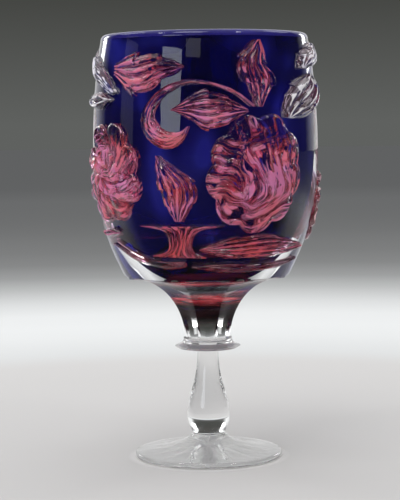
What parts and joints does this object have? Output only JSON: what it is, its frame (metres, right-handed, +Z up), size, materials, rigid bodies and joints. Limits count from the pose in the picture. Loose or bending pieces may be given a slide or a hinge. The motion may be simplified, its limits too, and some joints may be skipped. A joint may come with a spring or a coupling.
{
  "type": "liqueur glass",
  "caption": "Footed liqueur glass with a thick barrel-shaped crystal bowl, cobalt lining, carved ruby flower relief, fluted neck, collar, knopped stem and round star-cut foot.",
  "frame": {"origin": "centre of the foot's underside, on the table", "axes": "+Z up along the axis of the glass, -Y toward the front spray of the ornament, +X to its right as seen from the front"},
  "size_m": [0.0656, 0.0672, 0.12],
  "materials": {
    "crystal": "polished clear crystal",
    "cobalt_glass": "polished transparent cobalt blue",
    "ruby_glass": "carved and polished pink ruby"
  },
  "bodies": {
    "root": {"foot": "crystal", "stem": "crystal", "merese": "crystal", "crystal_bowl": "crystal", "cobalt_lining": "cobalt_glass", "rose_front": "ruby_glass", "upright_leaf_front": "ruby_glass", "level_leaf_front": "ruby_glass", "upper_scroll_front": "ruby_glass", "left_bud_front": "ruby_glass", "lower_leaf_front": "ruby_glass", "low_stalk_front": "ruby_glass", "low_leaf_front": "ruby_glass", "base_leaf_front": "ruby_glass", "low_scroll_front": "ruby_glass", "right_bud_front": "ruby_glass", "rim_leaf_front": "ruby_glass", "side_leaf_front": "ruby_glass", "drop_front": "ruby_glass", "rose_back": "ruby_glass", "upright_leaf_back": "ruby_glass", "level_leaf_back": "ruby_glass", "upper_scroll_back": "ruby_glass", "left_bud_back": "ruby_glass", "lower_leaf_back": "ruby_glass", "right_bud_back": "ruby_glass", "rim_leaf_back": "ruby_glass", "side_leaf_back": "ruby_glass", "drop_back": "ruby_glass", "flower_left": "ruby_glass", "flower_right": "ruby_glass", "drop_under_flower_left": "ruby_glass"}
  },
  "joints": []
}
